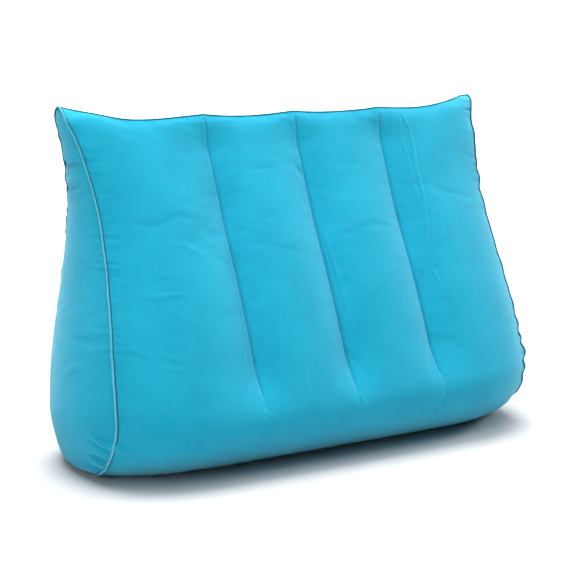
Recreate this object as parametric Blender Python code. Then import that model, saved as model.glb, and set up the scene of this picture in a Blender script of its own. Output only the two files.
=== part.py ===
"""Inflatable wedge pillow, standing on its thick end.

The cushion is one filled solid: a band of flocked cloth runs from the top seam down the sloping
front, under the base and up the back, and a leaf-shaped gusset closes it at each side. Three welds
run down the front, and three down the back where the same inner webs end, so each face has four
channels. A welt covers the seam round each gusset and the seam along the top.

Metres, +Z up. X runs along the width, the sloping front faces -Y, and the base rests on Z = 0.
"""

import math

import bmesh
import bpy
from mathutils import Vector

# Half of the width between the two gusset seams, low down.
HALF_WIDTH = 0.3145

WELT_RADIUS = 0.0024

# Clearance between a welt and the cloth.
GAP = 0.0003

# How far the top seam stands behind the middle of the depth.
DEPTH_SHIFT = 0.0562

# Outline of a gusset, along its seam: from the ear tip down the front, under, and up the back.
# Its y counts from the top seam. A heading of 0 degrees points to the back, 90 up, and the curve
# reaches the next row in that many steps.
GUSSET_OUTLINE = (
    # name, y, z, heading, steps
    ("ear tip", 0.003, 0.457, -160, 4),
    ("front shoulder", -0.028, 0.422, -108, 25),
    ("front foot", -0.143, 0.107, -104, 8),
    ("front of base", -0.072, 0.006, 0, 6),
    ("back of base", 0.016, 0.006, 0, 8),
    ("back foot", 0.063, 0.074, 90, 25),
    ("back shoulder", 0.025, 0.416, 98, 4),
    ("ear tip again", 0.003, 0.457, 160, 0),
)

# Section over the crests of the inner channels, in the same steps. Its top is a crease, the top seam.
MIDDLE_SECTION = (
    # name, y, z, heading, steps
    ("top seam", -0.030, 0.4445, -140, 4),
    ("front shoulder", -0.046, 0.420, -116, 25),
    ("front foot", -0.200, 0.095, -108, 8),
    ("front of base", -0.080, -0.004, 0, 6),
    ("back of base", 0.000, -0.004, 0, 8),
    ("back foot", 0.090, 0.090, 92, 25),
    ("back shoulder", 0.052, 0.406, 102, 4),
    ("top seam again", -0.030, 0.4445, 158, 0),
)

# Half of the width between the two seams, where it turns from widest to narrowest and back.
SEAM_WIDTHS = (
    # height, half width
    (0.000, HALF_WIDTH + 0.003),
    (0.090, HALF_WIDTH),
    (0.325, HALF_WIDTH - 0.018),
    (0.510, HALF_WIDTH + 0.008),
)

# Swell of a gusset at each height, as a share of the depth between its front and back seam.
GUSSET_SWELL = (
    # height, share
    (0.000, 0.110),
    (0.100, 0.162),
    (0.300, 0.137),
    (0.450, 0.080),
)

# Edges of the four channels, as shares of the half width. The three between the ends are the welds.
CHANNEL_EDGES = (-1.0, -0.43, 0.0, 0.43, 1.0)

# How deep the welds draw the cloth in at each height.
WELD_DEPTH = (
    # height, depth
    (0.070, 0.0000),
    (0.150, 0.0195),
    (0.300, 0.0210),
    (0.400, 0.0125),
    (0.445, 0.0000),
)

# How far the top seam dips between the ends of the welds, at each height of the cloth below it.
TOP_DIP = (
    # height, dip of an outer channel
    (0.380, 0.000),
    (0.440, 0.004),
)

# Steps across a channel, and across a gusset.
CHANNEL_STEPS = 9
GUSSET_STEPS = 8

# How late the middle section turns into the gusset's seam, towards each side: higher is later.
EDGE_POWER = 7

# Reach of an outline's handles, as a share of the distance between two rows of its table.
HANDLE = 0.37

# Edges that turn by more than this stay sharp.
SHARP_ANGLE = math.radians(50)

# Linear red, green, blue and alpha, and the roughness.
CLOTH_LOOK = ((0.022, 0.445, 0.660, 1.0), 0.85)
WELT_LOOK = ((0.018, 0.330, 0.520, 1.0), 0.75)


def ease(rows, at):
    """Value at a place in a table of turning points: level at each row, smooth between them."""
    if at <= rows[0][0]:
        return rows[0][1]
    for (a, low), (b, high) in zip(rows, rows[1:]):
        if at <= b:
            t = (at - a) / (b - a)
            return low + (high - low) * t * t * (3 - 2 * t)
    return rows[-1][1]


def arch(share):
    """An even arch: 0 at both ends of the way across, 1 in the middle."""
    return 4 * share * (1 - share)


def heading_vector(degrees):
    """Unit vector in the side view, 0 degrees to the back and 90 up."""
    return Vector((math.cos(math.radians(degrees)), math.sin(math.radians(degrees))))


def outline_points(rows):
    """Points (y, z) of a closed side outline, one cubic curve from each row of its table to the next."""
    points = []
    for here, there in zip(rows, rows[1:]):
        start, end = Vector(here[1:3]), Vector(there[1:3])
        reach = HANDLE * (end - start).length
        a = start + heading_vector(here[3]) * reach
        b = end - heading_vector(there[3]) * reach
        for step in range(here[4]):
            t = step / here[4]
            k = 1 - t
            points.append(start * k**3 + a * 3 * k * k * t + b * 3 * k * t * t + end * t**3)
    return points


SEAM = outline_points(GUSSET_OUTLINE)
MIDDLE = outline_points(MIDDLE_SECTION)
STATIONS = len(SEAM)


def outward(i):
    """Unit vector (y, z) out of the middle section at station i."""
    run = MIDDLE[(i + 1) % STATIONS] - MIDDLE[i - 1]
    return Vector((run.y, -run.x)).normalized()


def half_width(u, height):
    """Half of the width that u is a share of: drawn in at mid height by the seams, but not by the welds."""
    return HALF_WIDTH + (ease(SEAM_WIDTHS, height) - HALF_WIDTH) * u * u


def rise(u):
    """Share of the way from the gusset's seam to the middle section, at u from -1 to 1 across the width."""
    return 1 - abs(u) ** EDGE_POWER


def channel_at(u):
    """The channel that holds u: the share of the way across it, and its width as a share of the widest."""
    for a, b in zip(CHANNEL_EDGES, CHANNEL_EDGES[1:]):
        if u <= b:
            return (u - a) / (b - a), (b - a) / (CHANNEL_EDGES[1] - CHANNEL_EDGES[0])


def weld_pull(u):
    """Share of a weld's depth at u: 1 on a weld, and 0 on a crest and from there out to the gusset."""
    if u <= (CHANNEL_EDGES[0] + CHANNEL_EDGES[1]) / 2 or u >= (CHANNEL_EDGES[-2] + CHANNEL_EDGES[-1]) / 2:
        return 0.0
    share, _ = channel_at(u)
    return 1 - arch(share)


def top_dip(u, height):
    """How far the cloth sinks at u, by the top seam."""
    share, width = channel_at(u)
    return arch(share) * width * ease(TOP_DIP, height)


def band_point(i, u):
    """A point of the band at station i and at u across the width."""
    side = SEAM[i].lerp(MIDDLE[i], rise(u))
    side = side - outward(i) * weld_pull(u) * ease(WELD_DEPTH, side.y)
    height = max(side.y - top_dip(u, side.y), 0.0)
    return Vector((u * half_width(u, SEAM[i].y), side.x + DEPTH_SHIFT, height))


def gusset_point(side, row, share):
    """A point of the gusset on that side, in the row between two stations of its seam."""
    front, back = band_point(row, side), band_point(STATIONS - row, side)
    swell = ease(GUSSET_SWELL, front.z) * (back - front).length * arch(share)
    return front.lerp(back, share) + Vector((side * swell, 0, 0))


def across():
    """The u of each column of the band, closer together by the welds and the gussets."""
    columns = []
    for a, b in zip(CHANNEL_EDGES, CHANNEL_EDGES[1:]):
        for step in range(CHANNEL_STEPS):
            columns.append(a + (b - a) * (1 - math.cos(math.pi * step / CHANNEL_STEPS)) / 2)
    return columns + [1.0]


def cloth_material(name, look):
    """A plain material for one of the cloths."""
    colour, roughness = look
    material = bpy.data.materials.new(name)
    material.use_nodes = True
    shader = material.node_tree.nodes["Principled BSDF"]
    shader.inputs["Base Color"].default_value = colour
    shader.inputs["Roughness"].default_value = roughness
    shader.inputs["Metallic"].default_value = 0.0
    return material


def close_gusset(mesh, seam, side):
    """Fills the closed seam at one side with the swollen gusset."""
    half = STATIONS // 2
    rows = [[seam[0]]]
    for row in range(1, half):
        inner = [mesh.verts.new(gusset_point(side, row, k / GUSSET_STEPS)) for k in range(1, GUSSET_STEPS)]
        rows.append([seam[row], *inner, seam[STATIONS - row]])
    rows.append([seam[half]])
    for above, below in zip(rows, rows[1:]):
        if len(above) == 1:
            for a, b in zip(below, below[1:]):
                mesh.faces.new((above[0], a, b))
        elif len(below) == 1:
            for a, b in zip(above, above[1:]):
                mesh.faces.new((a, below[0], b))
        else:
            for a, b, c, d in zip(above, below, below[1:], above[1:]):
                mesh.faces.new((a, b, c, d))


def make_cushion(material):
    """Makes the filled cushion. Returns the places and outward directions along its three seams."""
    mesh = bmesh.new()
    columns = across()
    grid = [[mesh.verts.new(band_point(i, u)) for i in range(STATIONS)] for u in columns]
    for left, right in zip(grid, grid[1:]):
        for i in range(STATIONS):
            j = (i + 1) % STATIONS
            mesh.faces.new((left[i], left[j], right[j], right[i]))
    close_gusset(mesh, grid[0], -1)
    close_gusset(mesh, grid[-1], 1)
    bmesh.ops.recalc_face_normals(mesh, faces=mesh.faces)
    mesh.normal_update()
    seams = {
        "left": [(v.co.copy(), v.normal.copy()) for v in grid[0]],
        "right": [(v.co.copy(), v.normal.copy()) for v in grid[-1]],
        "top": [(line[0].co.copy(), line[0].normal.copy()) for line in grid],
    }
    data = bpy.data.meshes.new("cushion")
    mesh.to_mesh(data)
    mesh.free()
    data.materials.append(material)
    data.shade_smooth()
    data.set_sharp_from_angle(angle=SHARP_ANGLE)
    cushion = bpy.data.objects.new("cushion", data)
    bpy.context.scene.collection.objects.link(cushion)
    return seams


def make_welt(name, seam, closed, material):
    """A welt: a round strip that lies along a seam, a gap clear of the cloth."""
    curve = bpy.data.curves.new(name, "CURVE")
    curve.dimensions = "3D"
    curve.bevel_depth = WELT_RADIUS
    curve.bevel_resolution = 1
    curve.use_fill_caps = True
    line = curve.splines.new("POLY")
    line.points.add(len(seam) - 1)
    for point, (place, direction) in zip(line.points, seam):
        point.co = (*(place + direction * (WELT_RADIUS + GAP)), 1.0)
    line.use_cyclic_u = closed
    curve.materials.append(material)
    welt = bpy.data.objects.new(name, curve)
    bpy.context.scene.collection.objects.link(welt)
    return welt


def main():
    for old in list(bpy.data.objects):
        bpy.data.objects.remove(old)
    cloth = cloth_material("flocked_cloth", CLOTH_LOOK)
    welt_cloth = cloth_material("welt_cloth", WELT_LOOK)
    seams = make_cushion(cloth)
    make_welt("welt_left", seams["left"], True, welt_cloth)
    make_welt("welt_right", seams["right"], True, welt_cloth)
    make_welt("welt_top", seams["top"][1:-1], False, welt_cloth)


main()
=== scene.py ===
# %% [markdown]
# # An inflatable wedge pillow
# A skin of PVC, flocked on its outside so that it feels like suede, is welded into a wedge and blown
# up. It stands on its thick end. This file dresses the plain solids of the pillow with the real skin:
# swollen channels between three welds, puckers along the seams, a piped welt and the flock itself.
# Everything is in metres. X runs along the width, the sloping front faces -Y, and Z points up.

# %% Load the frame
import math

import bmesh
import bpy
import numpy as np
from mathutils import Matrix, Vector
from mathutils.kdtree import KDTree


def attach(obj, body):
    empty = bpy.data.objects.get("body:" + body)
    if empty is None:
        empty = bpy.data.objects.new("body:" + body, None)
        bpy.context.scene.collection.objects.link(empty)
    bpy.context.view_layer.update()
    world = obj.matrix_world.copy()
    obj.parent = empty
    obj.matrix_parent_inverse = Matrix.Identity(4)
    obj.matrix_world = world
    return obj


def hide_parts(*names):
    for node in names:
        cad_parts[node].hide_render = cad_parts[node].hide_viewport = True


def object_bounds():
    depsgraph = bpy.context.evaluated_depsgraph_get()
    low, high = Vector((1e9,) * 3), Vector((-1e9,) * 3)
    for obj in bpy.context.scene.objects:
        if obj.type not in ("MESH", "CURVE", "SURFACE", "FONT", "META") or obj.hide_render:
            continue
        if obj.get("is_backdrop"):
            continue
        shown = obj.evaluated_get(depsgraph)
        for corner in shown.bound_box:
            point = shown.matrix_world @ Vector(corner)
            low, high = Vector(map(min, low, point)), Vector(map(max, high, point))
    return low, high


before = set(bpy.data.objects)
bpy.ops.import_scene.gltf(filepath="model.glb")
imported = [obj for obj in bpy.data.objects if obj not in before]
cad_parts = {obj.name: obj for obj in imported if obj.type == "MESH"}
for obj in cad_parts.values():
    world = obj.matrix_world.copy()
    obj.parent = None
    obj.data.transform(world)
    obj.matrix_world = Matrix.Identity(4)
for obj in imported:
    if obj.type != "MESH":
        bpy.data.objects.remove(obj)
SOLID_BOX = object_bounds()
print("solids:", sorted(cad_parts))
print("box of the solids:", SOLID_BOX)

# %% [markdown]
# ## The camera
# A product photo like this is taken from a few metres away with a long lens, so that upright lines
# stay upright. The camera stands left of the middle and a little above the pillow, looking down by
# ten degrees. A direction can be turned into a rotation with to_track_quat: -Z is where a camera
# looks, and Y is its up.

# %% Camera
CAMERA_PLACE = Vector((-0.936, -1.540, 0.539))
CAMERA_YAW = math.radians(30.6)
CAMERA_DIP = math.radians(10.3)
SENSOR_WIDTH = 36
LENS_LENGTH = 84.82


def in_scene(name, data):
    """A new object with that data, in the scene."""
    made = bpy.data.objects.new(name, data)
    bpy.context.scene.collection.objects.link(made)
    return made


def turned_along(way):
    """The rotation of a camera or a lamp that looks along a direction."""
    return way.to_track_quat("-Z", "Y").to_euler()


lens = bpy.data.cameras.new("camera")
lens.sensor_width = SENSOR_WIDTH
lens.lens = LENS_LENGTH
camera = in_scene("camera", lens)
camera.location = CAMERA_PLACE
looking = Vector((
    math.sin(CAMERA_YAW) * math.cos(CAMERA_DIP),
    math.cos(CAMERA_YAW) * math.cos(CAMERA_DIP),
    -math.sin(CAMERA_DIP),
))
camera.rotation_euler = turned_along(looking)
bpy.context.scene.camera = camera
print("camera looks along", tuple(round(c, 3) for c in looking))

# %% [markdown]
# ## The shape, as a few rows of numbers
# A side view of the pillow has two outlines. One is the seam round a gusset, the leaf-shaped cloth
# that closes each end. The other is the section through the middle, where the skin is blown furthest
# out. Each outline is a short table: a place, the heading in which the outline passes it, and the
# number of steps to the next place. Between two rows runs one cubic curve, as with Blender's own
# Bezier handles. The outlines, widths, swell and dip are the solid's own, so the skin lies where the
# solid does. Its welds are a little shallower, because a pressed groove deepens them later on. The
# last two tables are the skin's alone: the top seam isn't quite level, and the two ears differ a
# little, as hand-made ones do.

# %% Outlines
HALF_WIDTH = 0.3145
DEPTH_SHIFT = 0.0562

GUSSET_OUTLINE = (
    # name, y, z, heading, steps
    ("ear tip", 0.003, 0.457, -160, 4),
    ("front shoulder", -0.028, 0.422, -108, 25),
    ("front foot", -0.143, 0.107, -104, 8),
    ("front of base", -0.072, 0.006, 0, 6),
    ("back of base", 0.016, 0.006, 0, 8),
    ("back foot", 0.063, 0.074, 90, 25),
    ("back shoulder", 0.025, 0.416, 98, 4),
    ("ear tip again", 0.003, 0.457, 160, 0),
)
MIDDLE_SECTION = (
    # name, y, z, heading, steps
    ("top seam", -0.030, 0.4445, -140, 4),
    ("front shoulder", -0.046, 0.420, -116, 25),
    ("front foot", -0.200, 0.095, -108, 8),
    ("front of base", -0.080, -0.004, 0, 6),
    ("back of base", 0.000, -0.004, 0, 8),
    ("back foot", 0.090, 0.090, 92, 25),
    ("back shoulder", 0.052, 0.406, 102, 4),
    ("top seam again", -0.030, 0.4445, 158, 0),
)
print("rows in the two outlines:", len(GUSSET_OUTLINE), "and", len(MIDDLE_SECTION))

# %% Widths, welds and ears
SEAM_WIDTHS = (
    # height, half width
    (0.000, HALF_WIDTH + 0.003),
    (0.090, HALF_WIDTH),
    (0.325, HALF_WIDTH - 0.018),
    (0.510, HALF_WIDTH + 0.008),
)
GUSSET_SWELL = (
    # height, share of the gusset's depth
    (0.000, 0.110),
    (0.100, 0.162),
    (0.300, 0.137),
    (0.450, 0.080),
)
WELD_DEPTH = (
    # height, depth
    (0.070, 0.0000),
    (0.150, 0.0195),
    (0.300, 0.0185),
    (0.400, 0.0115),
    (0.445, 0.0000),
)
# How tightly the cloth turns into a weld: higher is tighter.
PULL_POWER = 1.15
TOP_DIP = (
    # height, dip of an outer channel
    (0.380, 0.000),
    (0.440, 0.004),
)
CHANNEL_EDGES = (-1.0, -0.43, 0.0, 0.43, 1.0)
# How late the middle section turns into the gusset's seam: higher is later.
EDGE_POWER = 7
# Reach of an outline's handles, as a share of the distance between two rows of its table.
HANDLE = 0.37
TOP_LIFT = (
    # share of the half width, lift of the top seam
    (-1.00, 0.0018),
    (-0.90, 0.0026),
    (-0.74, -0.0006),
    (-0.50, 0.0014),
    (-0.28, 0.0008),
    (0.00, 0.0022),
    (0.36, 0.0036),
    (0.60, 0.0054),
    (0.93, 0.0098),
    (1.00, 0.0045),
)
# Heights between which the lift grows from nothing to all of it.
LIFT_FROM, LIFT_FULL = 0.340, 0.440
# Share of the half width that an ear's shift reaches in from its seam.
EAR_SHARE = 0.25
EAR_SHIFTS = (
    # side, share on the front, share on the back, height, reach up and down, shift in x, in y
    (-1, 1.0, 1.0, 0.442, 0.016, -0.0035, 0.000),
    (-1, 1.0, 0.0, 0.428, 0.016, 0.000, 0.003),
    (1, 1.0, 0.0, 0.430, 0.016, -0.004, 0.004),
    (1, 1.0, 1.0, 0.454, 0.010, 0.0028, 0.000),
)
print("channels:", len(CHANNEL_EDGES) - 1, "of", round(2 * HALF_WIDTH, 3), "m in all")

# %% [markdown]
# ## From tables to a grid of points
# The skin is one grid of points: columns across the width, rows along the outline. A grid is worth
# keeping, because a weld is then simply a column, a seam is its first or last one, and the weave can
# follow it. numpy works on all the points at once, so a grid of ninety thousand takes no time. The
# columns stand closer together by the welds, the seams and the long creases, where the skin bends
# most, and the rows stand closer together round the foot.

# %% Curves and easing
# Rows of the grid for each step of the outlines, piece by piece.
FINE = (5, 5, 7, 5, 7, 5, 5)
# Steps between columns, and how fast they grow away from a crisp place.
FINEST_STEP = 0.0010
COARSEST_STEP = 0.0066
STEP_GROWTH = 0.135
CRISP_PLACES = (-1.0, -0.43, 0.0, 0.03, 0.43, 0.54, 0.57, 1.0)
RULER_MARKS = 801
GUSSET_COLUMNS = 38
# How much closer a gusset's columns stand by its seams, from 0 to 1.
CLOSER = 0.72


def ease(rows, at):
    """Value at places in a table of turning points: level at each row, smooth between them."""
    at = np.asarray(at, float)
    places, values = np.array(rows, float).T
    k = np.clip(np.searchsorted(places, at, side="right") - 1, 0, len(places) - 2)
    t = np.clip((at - places[k]) / (places[k + 1] - places[k]), 0, 1)
    return values[k] + (values[k + 1] - values[k]) * t * t * (3 - 2 * t)


def arch(share):
    """An even arch: 0 at both ends of the way across, 1 in the middle."""
    return 4 * share * (1 - share)


def shares(count):
    """Shares of the way across, from 0 up to but without 1, closer together at both ends."""
    t = np.arange(count) / count
    return t * (1 - CLOSER) + (1 - np.cos(np.pi * t)) / 2 * CLOSER


def heading_vector(degrees):
    """Unit vector in the side view, 0 degrees to the back and 90 up."""
    return np.array((math.cos(math.radians(degrees)), math.sin(math.radians(degrees))))


def outline_points(rows):
    """Points (y, z) of a closed side outline, with one cubic curve from each row to the next."""
    pieces = []
    for here, there, fine in zip(rows, rows[1:], FINE):
        start, end = np.array(here[1:3]), np.array(there[1:3])
        reach = HANDLE * np.linalg.norm(end - start)
        a = start + heading_vector(here[3]) * reach
        b = end - heading_vector(there[3]) * reach
        steps = here[4] * fine
        t = (np.arange(steps) / steps)[:, None]
        k = 1 - t
        pieces.append(start * k**3 + a * 3 * k * k * t + b * 3 * k * t * t + end * t**3)
    return np.concatenate(pieces)


SEAM = outline_points(GUSSET_OUTLINE)
MIDDLE = outline_points(MIDDLE_SECTION)
STATIONS = len(SEAM)
HALF = STATIONS // 2
RUN = np.roll(MIDDLE, -1, 0) - np.roll(MIDDLE, 1, 0)
OUTWARD = np.stack((RUN[:, 1], -RUN[:, 0]), 1) / np.linalg.norm(RUN, axis=1)[:, None]
print("points along the outline:", STATIONS)


# %% The band, which is front, base and back in one
def column_step(u):
    """Step between columns at u: finest by a seam, a weld or a long crease."""
    apart = np.abs(u[:, None] - np.array(CRISP_PLACES)).min(axis=1) * HALF_WIDTH
    return np.minimum(FINEST_STEP + STEP_GROWTH * apart, COARSEST_STEP)


def columns_across():
    """Each column's u from -1 to 1, its share of the way across its channel, and that one's width."""
    u, share, width = [], [], []
    for a, b in zip(CHANNEL_EDGES, CHANNEL_EDGES[1:]):
        ruler = np.linspace(a, b, RULER_MARKS)
        steps = np.diff(ruler) * HALF_WIDTH / column_step((ruler[1:] + ruler[:-1]) / 2)
        counted = np.concatenate(((0.0,), np.cumsum(steps)))
        count = 2 * math.ceil(counted[-1] / 2)
        places = np.interp(np.arange(count) * counted[-1] / count, counted, ruler)
        u.append(places)
        share.append((places - a) / (b - a))
        width.append(np.full(count, (b - a) / (CHANNEL_EDGES[1] - CHANNEL_EDGES[0])))
    return [np.append(np.concatenate(row), 1.0) for row in (u, share, width)]


U, SHARE, CHANNEL_WIDTH = columns_across()
WELD_COLUMNS = [int(np.argmin(np.abs(U - edge))) for edge in CHANNEL_EDGES[1:-1]]
OUTER_HALF = np.abs(U) >= (CHANNEL_EDGES[-2] + 1) / 2
PULL = np.where(OUTER_HALF, 0.0, (1 - arch(SHARE)) ** PULL_POWER)


def ear_shifts(heights):
    """Shifts in x and y of the skin near its ears."""
    front = np.arange(STATIONS) < HALF
    x, y = np.zeros_like(heights), np.zeros_like(heights)
    for side, on_front, on_back, height, reach, shift_x, shift_y in EAR_SHIFTS:
        near = np.clip((U * side - (1 - EAR_SHARE)) / EAR_SHARE, 0, 1)[:, None] ** 2
        near = near * np.exp(-((heights - height) / reach) ** 2) * np.where(front, on_front, on_back)
        x += shift_x * near
        y += shift_y * near
    return x, y


def band_grid():
    """Points of the band, columns by stations by three."""
    rise = (1 - np.abs(U) ** EDGE_POWER)[:, None, None]
    side = SEAM + (MIDDLE - SEAM) * rise
    side = side - OUTWARD * (PULL[:, None] * ease(WELD_DEPTH, side[..., 1]))[..., None]
    dip = (arch(SHARE) * CHANNEL_WIDTH)[:, None] * ease(TOP_DIP, side[..., 1])
    drawn_in = (ease(SEAM_WIDTHS, SEAM[:, 1]) - HALF_WIDTH) * U[:, None] ** 2
    x = U[:, None] * (HALF_WIDTH + drawn_in)
    lift = ease(TOP_LIFT, U)[:, None] * ease(((LIFT_FROM, 0.0), (LIFT_FULL, 1.0)), side[..., 1])
    shift_x, shift_y = ear_shifts(side[..., 1])
    y = side[..., 0] + DEPTH_SHIFT + shift_y
    return np.stack((x + shift_x, y, np.maximum(side[..., 1] - dip, 0.0) + lift), -1)


BAND = band_grid()
COLUMNS = len(U)
print("band:", COLUMNS, "columns by", STATIONS, "stations; welds at columns", WELD_COLUMNS)


# %% The two gussets
def seam_rows(seam):
    """A seam's front and back points in pairs, from the ear tip down to the middle of the base."""
    return seam[:HALF + 1], np.roll(seam, -1, 0)[::-1][:HALF + 1]


def gusset_grid(seam, side):
    """Points of a gusset, rows from ear to base by columns from its front seam to its back seam."""
    front, back = seam_rows(seam)
    share = np.append(shares(GUSSET_COLUMNS), 1.0)
    depth = np.linalg.norm(back - front, axis=1)
    swell = (ease(GUSSET_SWELL, front[:, 2]) * depth)[:, None] * arch(share)
    points = front[:, None] + (back - front)[:, None] * share[None, :, None]
    points[..., 0] += side * swell
    return points


LEFT = gusset_grid(BAND[0], -1)
RIGHT = gusset_grid(BAND[-1], 1)
print("gussets:", LEFT.shape[0], "rows by", LEFT.shape[1], "columns each")


# %% The whole skin as one mesh
def skin_points(band, left, right):
    """All the points in the order that the faces count them. A gusset's rim is the band's edge."""
    grids = (band, left[1:-1, 1:-1], right[1:-1, 1:-1])
    return np.concatenate([grid.reshape(-1, 3) for grid in grids])


def skin_faces(band, gusset):
    """The band's quads, then each gusset's rows."""
    columns, stations = band.shape[:2]
    number = np.arange(columns * stations).reshape(columns, stations)
    following = np.roll(number, -1, 1)
    quads = np.stack((number[:-1], following[:-1], following[1:], number[1:]), -1)
    faces = quads.reshape(-1, 4).tolist()
    half = stations // 2
    inner = gusset.shape[1] - 2
    first = columns * stations
    for seam, turned in ((number[0], True), (number[-1], False)):
        rows = [[int(seam[0])]]
        for row in range(1, half):
            start = first + (row - 1) * inner
            rows.append([int(seam[row]), *range(start, start + inner), int(seam[stations - row])])
        rows.append([int(seam[half])])
        first += (half - 1) * inner
        for above, below in zip(rows, rows[1:]):
            if len(above) == 1:
                ring = [(above[0], a, b) for a, b in zip(below, below[1:])]
            elif len(below) == 1:
                ring = [(a, below[0], b) for a, b in zip(above, above[1:])]
            else:
                ring = list(zip(above, below, below[1:], above[1:]))
            faces.extend([face[::-1] for face in ring] if turned else ring)
    return faces


def skin_mesh(name, points, faces):
    """A mesh of the skin with all its faces outwards, which is where its volume counts as positive."""
    data = bpy.data.meshes.new(name)
    data.from_pydata(points.tolist(), [], faces)
    mesh = bmesh.new()
    mesh.from_mesh(data)
    bmesh.ops.recalc_face_normals(mesh, faces=mesh.faces)
    if mesh.calc_volume(signed=True) < 0:
        bmesh.ops.reverse_faces(mesh, faces=mesh.faces)
    mesh.to_mesh(data)
    mesh.free()
    return data


FACES = skin_faces(BAND, LEFT)
TARGET = skin_points(BAND, LEFT, RIGHT)
print("skin:", len(TARGET), "points,", len(FACES), "faces")

# %% [markdown]
# ## Blowing it up
# A blown skin is drum-tight in the middle of each channel and slack along its seams and welds, where
# flat cloth has to bend two ways at once. That slack is what puckers. Blender's cloth simulation does
# this by itself: a coarse copy of the skin is given a little more cloth than it needs, pinned at its
# seams and welds, and put under pressure. Gravity is off, because air carries the skin.

# %% A coarse copy to simulate
WELD_SPAN = (0.100, 0.445)
ON_FLOOR = 0.001


def pinned_points(band, gusset):
    """True for the points that the seams, the welds and the floor hold."""
    heights = band[..., 2]
    held = heights < ON_FLOOR
    held[[0, -1]] = True
    held[:, 0] = True
    low, high = WELD_SPAN
    for column in WELD_COLUMNS:
        along = heights[column // 2]
        held[column // 2] |= (along > low) & (along < high)
    inner = np.zeros(2 * gusset[1:-1, 1:-1, 0].size, bool)
    return np.concatenate((held.ravel(), inner))


COARSE_BAND, COARSE_LEFT, COARSE_RIGHT = [grid[::2, ::2] for grid in (BAND, LEFT, RIGHT)]
COARSE_POINTS = skin_points(COARSE_BAND, COARSE_LEFT, COARSE_RIGHT)
HELD = pinned_points(COARSE_BAND, COARSE_LEFT)
print("coarse skin:", len(COARSE_POINTS), "points,", int(HELD.sum()), "of them held")


# %% The simulation
SIM_FRAMES = 20
MOST_MOVE = 0.012
CLOTH_SETTINGS = {
    "quality": 6,
    "mass": 0.3,
    "tension_stiffness": 20,
    "compression_stiffness": 20,
    "shear_stiffness": 8,
    "bending_stiffness": 0.5,
    "use_pressure": True,
    "uniform_pressure_force": 4.0,
    "vertex_group_mass": "pins",
    # Below zero is spare cloth, as a share of its length.
    "shrink_min": -0.008,
}


def blown_up(points, faces, held):
    """The points after the cloth simulation."""
    blown = in_scene("blown", skin_mesh("blown", points, faces))
    pins = blown.vertex_groups.new(name="pins")
    pins.add(np.flatnonzero(held).tolist(), 1.0, "REPLACE")
    cloth = blown.modifiers.new("cloth", "CLOTH")
    for name, value in CLOTH_SETTINGS.items():
        setattr(cloth.settings, name, value)
    cloth.settings.effector_weights.gravity = 0
    cloth.collision_settings.use_collision = False
    cloth.point_cache.frame_end = SIM_FRAMES
    scene = bpy.context.scene
    for moment in range(1, SIM_FRAMES + 1):
        scene.frame_set(moment)
    depsgraph = bpy.context.evaluated_depsgraph_get()
    moved = np.empty(len(points) * 3)
    blown.evaluated_get(depsgraph).data.vertices.foreach_get("co", moved)
    bpy.data.objects.remove(blown)
    scene.frame_set(1)
    return moved.reshape(-1, 3)


COARSE_FACES = skin_faces(COARSE_BAND, COARSE_LEFT)
MOVED = blown_up(COARSE_POINTS, COARSE_FACES, HELD) - COARSE_POINTS
FAR = np.linalg.norm(MOVED, axis=1)
print("the cloth moved by", round(FAR.mean() * 1000, 1), "mm on average, at most",
      round(FAR.max() * 1000, 1))
MOVED *= np.minimum(1, MOST_MOVE / np.maximum(FAR, 1e-9))[:, None]

# %% [markdown]
# ## Keeping only the wrinkles
# The simulation also swells each channel a little, but the channels already have their size. So the
# movement is split: its broad part, found by blurring it along the grid, is dropped, and what is
# left, the puckers and ripples, is laid on the fine skin. A value between two others is read from a
# smooth curve through four neighbours.

# %% From the coarse grid to the fine one
BLUR_PASSES = 14
WRINKLE_GAIN = 0.35
print("the blur reaches about", BLUR_PASSES // 2, "points of the coarse grid")


def further(values, places, axis, closed):
    """The values that many places on along an axis, which closes on itself or stops at its ends."""
    at = np.arange(values.shape[axis]) + places
    return values.take(at, axis, mode="wrap" if closed else "clip")


def finer(values, axis, closed):
    """Twice as many values along an axis, each new one on a smooth curve through its neighbours."""
    before, after, beyond = [further(values, places, axis, closed) for places in (-1, 1, 2)]
    halfway = (9 * (values + after) - before - beyond) / 16
    shape = list(values.shape)
    shape[axis] *= 2
    made = np.stack((values, halfway), axis + 1).reshape(shape)
    return made if closed else np.delete(made, -1, axis)


def softened(values, axis, closed):
    """Each value averaged with the ones on either side of it along an axis."""
    before, after = [further(values, places, axis, closed) for places in (-1, 1)]
    return (before + 2 * values + after) / 4


def blurred(values, closed):
    """The broad part of values on a grid. Its second axis closes on itself if closed is true."""
    for _ in range(BLUR_PASSES):
        values = softened(softened(values, 0, False), 1, closed)
    return values


def wrinkles(moved, closed):
    """The fine part of the cloth's movement, on the fine grid."""
    fine = (moved - blurred(moved, closed)) * WRINKLE_GAIN
    return finer(finer(fine, 0, False), 1, closed)


# %% Wrinkles on the band and the gussets
def gusset_moves(moved):
    """The movement of one coarse gusset, with its rim at rest."""
    whole = np.zeros_like(COARSE_LEFT)
    inner = whole[1:-1, 1:-1]
    inner[:] = moved.reshape(inner.shape)
    return whole


BAND_COUNT = COARSE_BAND[..., 0].size
GUSSET_COUNT = COARSE_LEFT[1:-1, 1:-1, 0].size
OF_BAND, OF_LEFT, OF_RIGHT = np.split(MOVED, (BAND_COUNT, BAND_COUNT + GUSSET_COUNT))
BAND = BAND + wrinkles(OF_BAND.reshape(COARSE_BAND.shape), True)
LEFT = LEFT + wrinkles(gusset_moves(OF_LEFT), False)
RIGHT = RIGHT + wrinkles(gusset_moves(OF_RIGHT), False)
HIGHEST = float(np.abs(skin_points(BAND, LEFT, RIGHT) - TARGET).max())
print("wrinkles up to", round(HIGHEST * 1000, 1), "mm")

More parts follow.
